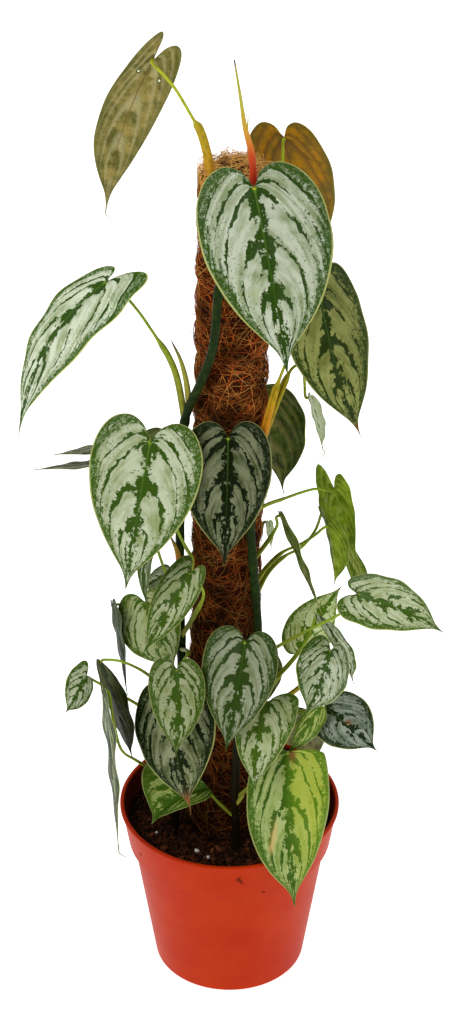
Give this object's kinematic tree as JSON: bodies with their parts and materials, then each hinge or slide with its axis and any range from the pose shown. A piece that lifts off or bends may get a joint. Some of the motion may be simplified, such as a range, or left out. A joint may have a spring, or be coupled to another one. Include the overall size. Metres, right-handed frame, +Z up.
{
  "type": "potted silver leaf philodendron",
  "caption": "Climbing silver leaf philodendron with heart-shaped leaves on a coir pole, standing in a round tapered plastic pot.",
  "frame": {"origin": "middle of the pot's foot, on the surface it stands on", "axes": "+Z up, -Y towards the side the picture shows"},
  "size_m": [0.3035, 0.2008, 0.7772],
  "materials": {
    "pot_plastic": "satin",
    "potting_mix": "rough",
    "coir": "fibrous",
    "stake_wood": "plain",
    "stem": "satin",
    "shoot": "satin",
    "leaf_silver": "satin",
    "leaf_dark": "satin",
    "leaf_lime": "satin",
    "leaf_bronze": "satin"
  },
  "bodies": {
    "root": {"pot": "pot_plastic", "soil": "potting_mix", "coir_pole": "coir", "pole_stake": "stake_wood", "vine_left": "stem", "vine_right": "stem", "vine_front": "stem", "vine_back": "stem", "new_leaf_shoot": "shoot", "leaf_back_low_left": "leaf_dark", "leaf_back_low_right": "leaf_silver", "leaf_back_lowest": "leaf_silver", "leaf_back_middle": "leaf_dark", "leaf_back_middle_left": "leaf_silver", "leaf_back_top": "leaf_silver", "leaf_back_upper": "leaf_silver", "leaf_crown_back": "leaf_bronze", "leaf_crown_front": "leaf_silver", "leaf_crown_left": "leaf_bronze", "leaf_far_left_small": "leaf_silver", "leaf_left_front": "leaf_silver", "leaf_left_heart": "leaf_silver", "leaf_left_narrow": "leaf_silver", "leaf_left_sliver": "leaf_dark", "leaf_left_trailing": "leaf_silver", "leaf_left_tucked": "leaf_silver", "leaf_low_front": "leaf_silver", "leaf_low_front_right": "leaf_silver", "leaf_low_left_dark": "leaf_dark", "leaf_low_left_sideways": "leaf_dark", "leaf_low_left_small": "leaf_silver", "leaf_low_right_behind": "leaf_silver", "leaf_low_right_dark": "leaf_dark", "leaf_low_right_front": "leaf_silver", "leaf_low_right_green": "leaf_lime", "leaf_middle_front": "leaf_dark", "leaf_middle_left": "leaf_silver", "leaf_middle_left_back": "leaf_dark", "leaf_middle_left_behind": "leaf_dark", "leaf_over_rim": "leaf_lime", "leaf_over_soil": "leaf_lime", "leaf_right_edge_on": "leaf_dark", "leaf_right_hanging": "leaf_silver", "leaf_right_reaching": "leaf_silver", "leaf_right_rising": "leaf_silver", "leaf_right_small": "leaf_lime", "leaf_right_turned_high": "leaf_lime", "leaf_right_turned_low": "leaf_lime", "leaf_upper_left": "leaf_silver", "leaf_upper_right": "leaf_silver", "leaf_upper_right_back": "leaf_dark", "leaf_upper_right_narrow": "leaf_silver"}
  },
  "joints": []
}
